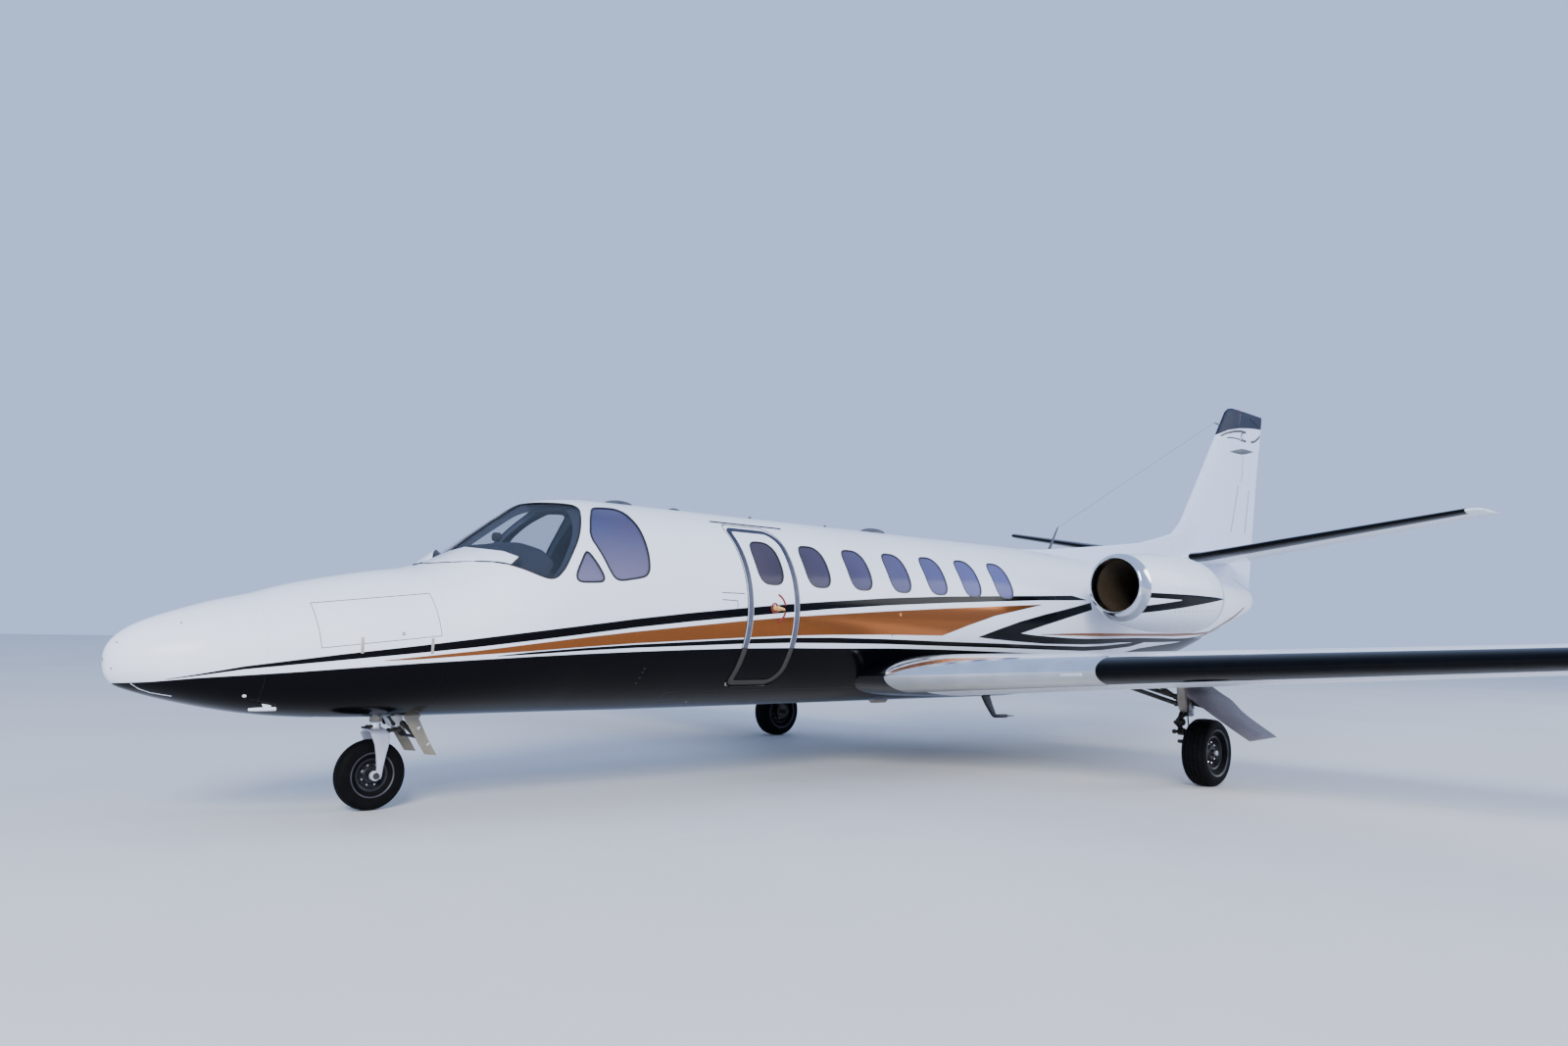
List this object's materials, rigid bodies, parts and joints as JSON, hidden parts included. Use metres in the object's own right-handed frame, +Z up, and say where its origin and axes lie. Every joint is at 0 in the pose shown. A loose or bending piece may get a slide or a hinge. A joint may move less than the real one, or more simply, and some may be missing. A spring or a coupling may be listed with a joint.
{
  "type": "business jet",
  "caption": "Twin-engined light business jet standing on its gear, with a low tapered wing, rear engine pods, swept fin, opening doors and moving control surfaces.",
  "frame": {"origin": "centre of the outline on the ground under the wheels", "axes": "+X to the nose, +Y to port, along the wing span, +Z up"},
  "size_m": [14.868, 15.9, 4.524],
  "materials": {
    "white_paint": "gloss white paint",
    "black_paint": "gloss black paint",
    "glass": "tinted acrylic, polished",
    "aluminium": "polished or machined",
    "steel": "chromed and painted steel",
    "tyre": "matt rubber",
    "leather": "soft tan leather",
    "carpet": "short pile carpet",
    "dark_plastic": "matt"
  },
  "bodies": {
    "airframe": {"radome": "white_paint", "nose_section": "white_paint", "cockpit_shell": "white_paint", "cabin_side_left": "white_paint", "cabin_side_right": "white_paint", "cabin_roof": "white_paint", "tail_section": "white_paint", "wing_left": "white_paint", "wing_right": "white_paint", "fin": "white_paint", "tailplane": "white_paint", "nacelle_left": "white_paint", "nacelle_right": "white_paint", "pylon_left": "white_paint", "pylon_right": "white_paint", "main_gear_door_left": "white_paint", "main_gear_door_right": "white_paint", "cabin_belly": "black_paint", "nose_gear_doors": "black_paint", "cockpit_glass": "glass", "cabin_windows_left": "glass", "cabin_windows_right": "glass", "rear_bulkhead": "aluminium", "engine_core_left": "aluminium", "engine_core_right": "aluminium", "nose_gear_leg": "steel", "main_gear_leg_left": "steel", "main_gear_leg_right": "steel", "cabin_seats": "leather", "cockpit_seats": "leather", "cabin_floor": "carpet", "instrument_panel": "dark_plastic"},
    "nose_bay_door_left": {"nose_bay_door_left": "white_paint"},
    "nose_bay_door_right": {"nose_bay_door_right": "white_paint"},
    "cabin_door": {"cabin_door": "white_paint", "door_window": "glass"},
    "flap_left": {"flap_left": "white_paint"},
    "flap_right": {"flap_right": "white_paint"},
    "aileron_left": {"aileron_left": "white_paint"},
    "aileron_right": {"aileron_right": "white_paint"},
    "elevator_left": {"elevator_left": "white_paint"},
    "elevator_right": {"elevator_right": "white_paint"},
    "rudder": {"rudder": "white_paint"},
    "fan_left": {"fan_left": "aluminium"},
    "fan_right": {"fan_right": "aluminium"},
    "nose_fork": {"nose_fork": "steel"},
    "nose_wheel": {"nose_wheel": "aluminium", "nose_tyre": "tyre"},
    "main_wheel_left": {"main_wheel_left": "aluminium", "main_tyre_left": "tyre"},
    "main_wheel_right": {"main_wheel_right": "aluminium", "main_tyre_right": "tyre"}
  },
  "joints": [
    {"name": "nose_steering", "type": "hinge", "parent": "airframe", "child": "nose_fork", "pos_m": [5.829, 0, 0.5], "axis": [0, 0, 1], "range_deg": [-20, 20]},
    {"name": "nose_wheel_spin", "type": "hinge", "parent": "nose_fork", "child": "nose_wheel", "pos_m": [5.851, 0, 0.2285], "axis": [0, 1, 0], "continuous": true},
    {"name": "main_wheel_left_spin", "type": "hinge", "parent": "airframe", "child": "main_wheel_left", "pos_m": [-0.245, 2.68, 0.2795], "axis": [0, 1, 0], "continuous": true},
    {"name": "main_wheel_right_spin", "type": "hinge", "parent": "airframe", "child": "main_wheel_right", "pos_m": [-0.245, -2.68, 0.2795], "axis": [0, 1, 0], "continuous": true},
    {"name": "fan_left_spin", "type": "hinge", "parent": "airframe", "child": "fan_left", "pos_m": [-1.785, 1.335, 1.7], "axis": [1, 0, 0], "continuous": true},
    {"name": "fan_right_spin", "type": "hinge", "parent": "airframe", "child": "fan_right", "pos_m": [-1.785, -1.335, 1.7], "axis": [1, 0, 0], "continuous": true},
    {"name": "cabin_door_hinge", "type": "hinge", "parent": "airframe", "child": "cabin_door", "pos_m": [3.315, 0.84, 1.4], "axis": [0, 0, -1], "range_deg": [0, 150]},
    {"name": "nose_bay_door_left_hinge", "type": "hinge", "parent": "airframe", "child": "nose_bay_door_left", "pos_m": [6.435, 0.35, 1.33], "axis": [0.9696, -0.2147, -0.1177], "range_deg": [0, 85]},
    {"name": "nose_bay_door_right_hinge", "type": "hinge", "parent": "airframe", "child": "nose_bay_door_right", "pos_m": [6.435, -0.35, 1.33], "axis": [-0.9696, -0.2147, 0.1177], "range_deg": [0, 85]},
    {"name": "flap_left_hinge", "type": "hinge", "parent": "airframe", "child": "flap_left", "pos_m": [-0.45925, 0.96, 0.74303], "axis": [-0.0442, -0.9964, -0.073], "range_deg": [0, 35]},
    {"name": "flap_right_hinge", "type": "hinge", "parent": "airframe", "child": "flap_right", "pos_m": [-0.45925, -0.96, 0.74303], "axis": [0.0442, -0.9964, 0.073], "range_deg": [0, 35]},
    {"name": "aileron_left_hinge", "type": "hinge", "parent": "airframe", "child": "aileron_left", "pos_m": [-0.28757, 4.81, 1.10808], "axis": [0.0779, 0.995, 0.0626], "range_deg": [-17, 17]},
    {"name": "aileron_right_hinge", "type": "hinge", "parent": "airframe", "child": "aileron_right", "pos_m": [-0.28757, -4.81, 1.10808], "axis": [-0.0779, 0.995, -0.0626], "range_deg": [-17, 17]},
    {"name": "elevator_left_hinge", "type": "hinge", "parent": "airframe", "child": "elevator_left", "pos_m": [-5.75367, 0.33, 2.32096], "axis": [-0.1392, 0.977, 0.1615], "range_deg": [-15, 20]},
    {"name": "elevator_right_hinge", "type": "hinge", "parent": "airframe", "child": "elevator_right", "pos_m": [-5.75367, -0.33, 2.32096], "axis": [0.1392, 0.977, -0.1615], "range_deg": [-15, 20]},
    {"name": "rudder_hinge", "type": "hinge", "parent": "airframe", "child": "rudder", "pos_m": [-6.495, 0, 2.42], "axis": [-0.2448, 0, 0.9696], "range_deg": [-22, 22]}
  ],
  "couplings": [
    {"joint": "flap_right_hinge", "follows": "flap_left_hinge", "ratio": 1},
    {"joint": "aileron_right_hinge", "follows": "aileron_left_hinge", "ratio": -1},
    {"joint": "elevator_right_hinge", "follows": "elevator_left_hinge", "ratio": 1}
  ]
}
